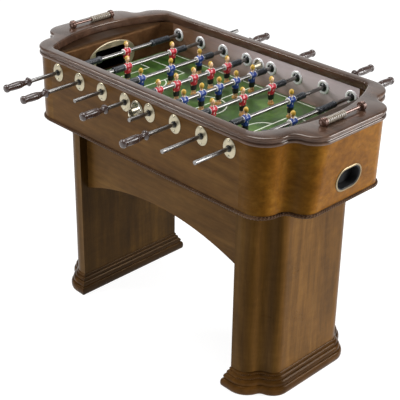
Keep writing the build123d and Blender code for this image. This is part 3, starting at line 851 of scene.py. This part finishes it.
# ---- scorers -------------------------------------------------
def scorers():
    """Turned disc knobs on each end rail with a bronzed rod and a stack of score beads between them."""
    frames = Shape()
    middle, low, high, height, bead_pitch = 552.0, -84.0, 84.0, 930.0, 8.0
    knob = [(5.0, -8.0), (11.0, -8.0), (13.0, -7.2), (14.0, -5.4), (14.0, -2.6), (13.3, -1.6), (13.3, -0.6)]
    knob += [(14.0, 0.4), (14.0, 3.2), (13.0, 5.4), (10.6, 7.0), (6.0, 7.9), (0.0, 8.0)]
    for side, name in ENDS:
        x = side * middle
        frames.lathe([(5.0, 6.0), (5.0, high - low - 6.0)], BRONZE, along_y(x, low, height), 24)
        for y, out in ((low, -1), (high, 1)):
            disc = Shape()
            disc.lathe(knob, BRONZE, along_y(x, y, height, out), 40)
            seated = [Vector((p.x, p.y, max(p.z, RAIL_TOP))) for p in disc.points]
            frames.add(seated, disc.faces, BRONZE)
        beads = Shape()
        start = low + 8.5 if side > 0 else high - 8.5 - 10 * bead_pitch
        bead = [(5.05, 0.0), (8.4, 0.0), (9.9, 0.6), (10.5, 1.9), (10.5, 5.8), (9.9, 7.1), (8.4, 7.7)]
        bead += [(5.05, 7.7)]
        gap = 0.0 if side > 0 else 0.3
        for i in range(10):
            beads.lathe(bead, BEADS, along_y(x, start + gap + i * bead_pitch, height), 36, True)
        beads.make(name + "_score_bead_stack", name + "_score", 30, (name + "_score_beads",), "cream_plastic")
    frames.make("scorer_frames", "table", 35, ("scorer_posts",), "scorer_metal")


# ---- playing rods --------------------------------------------
def superellipse(half_x, half_y, z, centre_x=0.0, centre_y=0.0, power=2.4, count=20):
    loop = []
    for i in range(count):
        turn = 2 * math.pi * i / count
        c, s = math.cos(turn), math.sin(turn)
        x = math.copysign(abs(c) ** (2 / power), c) * half_x
        y = math.copysign(abs(s) ** (2 / power), s) * half_y
        loop.append(Vector((centre_x + x, centre_y + y, z)))
    return loop


def ball(shape, centre, size, material, place, rows=10, count=16, warp=None):
    """Ellipsoid with an optional warp of its unit points."""
    points, faces = [], []
    for r in range(rows + 1):
        lift = math.pi * r / rows - math.pi / 2
        for i in range(count):
            turn = 2 * math.pi * i / count
            unit = Vector((math.cos(lift) * math.cos(turn), math.cos(lift) * math.sin(turn), math.sin(lift)))
            if warp:
                unit = warp(unit)
            points.append(Vector(centre) + Vector((unit.x * size[0], unit.y * size[1], unit.z * size[2])))
    for r in range(rows):
        for i in range(count):
            j = (i + 1) % count
            faces.append((r * count + i, r * count + j, (r + 1) * count + j, (r + 1) * count + i))
    shape.add(points, faces, material, place)


def head_warp(unit):
    """Front is +X: nose and chin pushed out of a unit ball, eye sockets pushed in and the jaw narrowed."""
    point = unit.copy()
    forward = max(0.0, unit.x)
    side = abs(unit.y)
    nose = math.exp(-((unit.y / 0.17) ** 2) - ((unit.z + 0.12) / 0.22) ** 2) * forward
    eyes = math.exp(-((side - 0.36) / 0.17) ** 2 - ((unit.z - 0.12) / 0.14) ** 2) * forward
    chin = math.exp(-((unit.y / 0.34) ** 2) - ((unit.z + 0.80) / 0.22) ** 2) * forward
    jaw = 1.0 - 0.20 * max(0.0, -unit.z - 0.15)
    point.y *= jaw
    point.x = point.x * (1.0 - 0.06 * forward) + 0.26 * nose - 0.10 * eyes + 0.12 * chin
    return point


def hair_warp(unit):
    ridges = 1.0 + 0.035 * math.sin(11 * math.atan2(unit.y, unit.x)) * (1 - abs(unit.z))
    return unit * ridges


def figure(shape, place, facing, shirt):
    """One moulded figure, front towards +X before the turn, rod axis through the chest."""
    turn = place @ Matrix.Rotation(0.0 if facing > 0 else math.pi, 4, "Z")
    # legs and boots
    for side in (-1, 1):
        rows = [(3.9, 3.6, -50.5, 0.6), (4.1, 3.8, -46.0, -0.3), (4.5, 4.2, -42.0, 0.0)]
        rows += [(4.9, 4.6, -36.0, 0.3)]
        loops = [superellipse(a, b, z, x, side * 4.3, 2.2, 14) for a, b, z, x in rows]
        shape.loops(loops, SKIN, turn)
    rows = [(7.9, 8.7, -58.4, 1.5), (9.0, 9.0, -57.2, 1.5), (9.2, 9.0, -53.4, 1.5), (8.0, 8.7, -50.8, 1.0)]
    rows += [(5.6, 8.2, -48.8, 0.2), (4.2, 7.6, -47.6, 0.0)]
    shape.loops([superellipse(a, b, z, x, 0.0, 3.4, 24) for a, b, z, x in rows], BOOT, turn)
    # shorts
    rows = [(6.4, 10.3, -39.6, 0.2), (6.9, 10.9, -38.6, 0.2), (7.3, 11.2, -30.0, 0.2)]
    rows += [(7.4, 10.8, -20.5, 0.0), (6.8, 10.0, -18.0, 0.0)]
    shape.loops([superellipse(a, b, z, x, 0.0, 2.6, 24) for a, b, z, x in rows], SHORTS, turn)
    # shirt
    rows = [(7.6, 10.9, -22.0, 0.0), (8.0, 11.3, -20.6, 0.0), (7.9, 11.0, -14.0, 0.2), (8.3, 11.6, -6.0, 0.4)]
    rows += [(8.6, 12.4, 1.0, 0.4), (8.0, 12.6, 6.0, 0.2), (6.6, 11.2, 9.6, 0.0), (4.6, 7.6, 11.8, -0.2)]
    rows += [(3.6, 4.6, 12.6, -0.2)]
    shape.loops([superellipse(a, b, z, x, 0.0, 2.5, 28) for a, b, z, x in rows], shirt, turn)
    # moulded hub round the rod with white cuffs
    hub = [(6.38, -13.4), (9.6, -13.4), (10.1, -12.8), (10.3, 0.0), (10.1, 12.8), (9.6, 13.4), (6.38, 13.4)]
    shape.lathe(hub, shirt, turn @ along_y(0, 0, 0), 28, True)
    for side in (-1, 1):
        cuff = [(6.38, 12.0), (9.9, 12.0), (10.45, 12.4), (10.45, 13.6), (9.9, 14.0), (6.38, 14.0)]
        shape.lathe(cuff, WHITE, turn @ along_y(0, 0, 0, side), 28, True)
        # arms held at the sides, with bare hands
        arm = [(2.9, 3.2, -19.0, 1.8, 10.8), (3.2, 3.4, -15.0, 1.4, 11.0), (3.6, 3.5, -8.0, 0.6, 10.6)]
        arm += [(3.9, 3.4, 2.0, 0.2, 10.2), (3.0, 2.8, 8.2, 0.0, 9.4)]
        loops = [superellipse(a, b, z, x, side * y, 2.1, 14) for a, b, z, x, y in arm]
        shape.loops(loops, shirt, turn)
        ball(shape, (2.2, side * 10.7, -20.6), (2.7, 2.8, 3.2), SKIN, turn, 8, 12)
    # collar, neck and head
    collar = [(4.2, 11.2), (5.4, 11.4), (5.7, 12.4), (5.0, 13.3), (4.1, 13.2)]
    shape.lathe(collar, WHITE, turn @ at(-0.2, 0, 0), 24, True)
    shape.lathe([(4.0, 10.0), (3.9, 14.0), (4.2, 18.0)], SKIN, turn @ at(-0.2, 0, 0), 20)
    ball(shape, (0.4, 0, 25.2), (7.5, 6.9, 10.6), SKIN, turn, 22, 28, head_warp)
    for side in (-1, 1):
        ball(shape, (-0.4, side * 6.8, 24.6), (1.7, 0.9, 2.5), SKIN, turn, 8, 10)
        ball(shape, (6.75, side * 2.55, 26.6), (0.5, 0.95, 0.55), EYE, turn, 6, 10)
        ball(shape, (6.75, side * 2.6, 28.4), (0.45, 1.5, 0.32), HAIR, turn, 6, 10)
    ball(shape, (7.0, 0, 20.4), (0.5, 1.9, 0.36), EYE, turn, 6, 10)
    # hair: a cap over the crown and back of the head
    ball(shape, (-1.3, 0, 27.4), (7.3, 7.5, 9.6), HAIR, turn, 18, 44, hair_warp)
    # white shirt mark on chest and back
    for face, x in ((1, 8.62), (-1, -7.9)):
        bar, stroke = (-3.2, 3.2, -2.6, -1.0, 0.0), (-3.2, -1.4, -12.0, -2.6, 3.2)
        for low_y, high_y, low_z, high_z, skew in (bar, stroke):
            block = []
            for dx in (0.0, 0.55):
                low_edge = [(low_y + skew, low_z), (high_y + skew, low_z)]
                for y, z in low_edge + [(high_y, high_z), (low_y, high_z)]:
                    block.append((face * (abs(x) - 0.35 + dx), face * y * -1, z))
            faces = [(0, 1, 2, 3), (7, 6, 5, 4), (0, 4, 5, 1), (1, 5, 6, 2), (2, 6, 7, 3), (3, 7, 4, 0)]
            shape.add(block, faces, WHITE, turn)


def figure_ys(number):
    count, spacing, slide = RODS[number][:3]
    return [slide + (i - (count - 1) / 2) * spacing for i in range(count)]


def playing_rods():
    for number, (count, spacing, slide, side, end, bare, facing) in RODS.items():
        x = rod_x(number)
        unit = f"rod_unit_{number}"
        tube = Shape()
        low = -(end - 18.0)
        profile = [(0.0, 0.5), (4.3, 0.4), (4.9, 0.1), (5.9, 0.0), (ROD_R, 0.6), (ROD_R, 1.4)]
        profile += [(ROD_R, bare - low), (0.0, bare - low)]
        tube.lathe(profile, CHROME, along_y(x, side * -bare, ROD_Z, side), 32)
        tube.make(f"rod_{number}_tube", unit, 40, (f"rod_{number}",), "chrome_rod")
        grip = Shape()
        turned = [(6.36, 0.0), (9.4, 0.0), (10.6, 0.8), (11.0, 2.2), (10.6, 3.6), (11.4, 4.6), (14.0, 5.6)]
        turned += [(15.0, 7.2), (14.6, 9.0), (12.6, 10.6), (10.4, 12.6), (9.2, 15.6), (8.7, 19.6)]
        turned += [(8.9, 24.0), (9.8, 28.6), (11.0, 33.0), (11.9, 37.6), (12.2, 39.2), (11.7, 39.9)]
        turned += [(12.3, 40.6), (12.6, 46.0), (12.7, 54.0), (12.5, 62.0), (12.0, 70.0), (11.4, 78.0)]
        turned += [(11.0, 83.6), (11.2, 84.8), (12.6, 85.8), (13.0, 87.4), (13.0, 90.6), (12.4, 93.4)]
        turned += [(10.8, 95.8), (8.2, 97.3), (4.4, 97.9), (0.0, 98.0)]
        grip.lathe(turned, GRIP, along_y(x, side * (end - 98.0), ROD_Z, side), 36)
        grip.make(f"handle_{number}_turned", unit, 50, (f"handle_{number}",), "handle_plastic")
        shirt, team = (RED, "red_player") if facing > 0 else (BLUE, "blue_player")
        men = Shape()
        for y in figure_ys(number):
            figure(men, at(x, y, ROD_Z), facing, shirt)
        men.make(f"players_{number}_figures", unit, 55, (f"players_{number}",), team)
        bumpers(number, x, count, spacing, slide)


def bumpers(number, x, count, spacing, slide):
    """Ribbed rubber sleeves."""
    long, radius, start = 46.0, 11.0, (count - 1) / 2 * spacing + 14.3
    if count == 1:
        long, radius, start = 81.0, 10.8, 111.0
    profile = [(6.37, 0.0), (radius - 1.6, 0.0), (radius - 0.4, 0.5), (radius, 1.5), (radius, 6.0)]
    ribs, first, last = 5, 8.0, long - 8.0
    if count == 1:
        profile = [(6.37, 0.0), (8.6, 0.0), (10.4, 1.2), (11.6, 4.0), (12.0, 8.0), (11.6, 12.0), (10.4, 15.2)]
        profile += [(9.0, 16.8), (8.6, 18.6), (9.4, 20.0), (radius, 21.0)]
        ribs, first = 7, 23.0
    step = (last - first) / ribs
    for i in range(ribs):
        z = first + i * step
        profile += [(radius - 1.5, z), (radius - 1.6, z + 0.22 * step), (radius - 0.3, z + 0.36 * step)]
        profile += [(radius - 0.2, z + 0.78 * step), (radius - 0.6, z + 0.92 * step)]
    profile += [(radius - 1.5, last), (radius, last + 2.0), (radius, long - 1.5), (radius - 0.4, long - 0.5)]
    profile += [(radius - 1.6, long), (6.37, long)]
    shape = Shape()
    for side in (-1, 1):
        shape.lathe(profile, RUBBER, along_y(x, slide + side * start, ROD_Z, side), 32, True)
    shape.make(f"bumper_pair_{number}", f"carrier_{number}", 40, (f"bumpers_{number}",), "bumper_rubber")


# ---- stage ---------------------------------------------------
def camera():
    data = bpy.data.cameras.new("camera")
    data.sensor_width = 36.0
    data.lens = 95.06
    data.shift_x = 0.0664
    data.shift_y = -0.0753
    data.clip_end = 60.0
    obj = linked("camera", data)
    yaw, pitch, roll = (math.radians(v) for v in (-46.915, 26.788, 0.175))
    forward = Vector((math.sin(yaw) * math.cos(pitch), math.cos(yaw) * math.cos(pitch), -math.sin(pitch)))
    right = Vector((math.cos(yaw), -math.sin(yaw), 0.0))
    up = right.cross(forward)
    level, above = right, up
    right = level * math.cos(roll) + above * math.sin(roll)
    up = above * math.cos(roll) - level * math.sin(roll)
    turn = Matrix((right, up, -forward)).transposed()
    place = (2.1954, -2.1819, 2.1120)
    obj.matrix_world = Matrix.Translation(place) @ turn.to_4x4()
    bpy.context.scene.camera = obj


def area_light(name, place, target, size, power):
    data = bpy.data.lights.new(name, "AREA")
    data.shape = "RECTANGLE"
    data.size, data.size_y = size
    data.energy = power
    obj = linked(name, data)
    obj.location = place
    obj.rotation_euler = (Vector(target) - Vector(place)).to_track_quat("-Z", "Y").to_euler()


def stage():
    world = bpy.data.worlds.new("studio")
    bpy.context.scene.world = world
    world.use_nodes = True
    tree = world.node_tree
    sky = tree.nodes["Background"]
    sky.inputs[0].default_value = (1.0, 1.0, 1.0, 1.0)
    split = tree.nodes.new("ShaderNodeSeparateXYZ")
    tree.links.new(tree.nodes.new("ShaderNodeTexCoord").outputs["Generated"], split.inputs[0])
    fade = tree.nodes.new("ShaderNodeMapRange")
    for key, value in (("From Min", 0.08), ("From Max", 0.20), ("To Min", 1.0), ("To Max", 0.30)):
        fade.inputs[key].default_value = value
    tree.links.new(split.outputs["Z"], fade.inputs["Value"])
    tree.links.new(fade.outputs[0], sky.inputs[1])
    shape = Shape()
    reach = 9000
    corners = [(-reach, -reach, 0), (reach, -reach, 0), (reach, reach, 0), (-reach, reach, 0)]
    shape.add(corners, [(0, 1, 2, 3)], floor_look())
    mesh = bpy.data.meshes.new("floor")
    mesh.from_pydata([p * MM for p in shape.points], [], shape.faces)
    mesh.materials.append(shape.materials[0])
    linked("floor", mesh)
    area_light("key_right", (2.6, 1.9, 1.8), (0.4, 0.0, 0.6), (1.5, 1.8), 100.0)
    area_light("top", (-0.2, 0.0, 3.2), (0.0, 0.0, 0.8), (2.2, 1.6), 70.0)
    area_light("front_left", (-2.4, -2.4, 2.4), (0.0, 0.0, 0.7), (0.9, 1.2), 60.0)
    area_light("backdrop", (-4.4, 4.4, 2.4), (0.0, 0.0, 0.9), (6.5, 3.2), 40.0)


def floor_look():
    look = Look("pale_floor", Roughness=0.8, Specular_IOR_Level=0.1, Emission_Strength=0.86,
                Emission_Color=grey(1.0))
    patch = look.noise(look.place(), 3.0, 2.0)
    look.shade("Base Color", look.ramp(patch, (0.2, grey(0.29)), (0.8, grey(0.31))))
    return look.material


bpy.context.scene.view_settings.view_transform = "Standard"
camera()
stage()
paint_cabinet()
top_rails()
rope_bead()
leg_bases()
escutcheons()
screws()
bushes()
ball_cups()
return_bezels()
goal_rings()
scorers()
playing_rods()
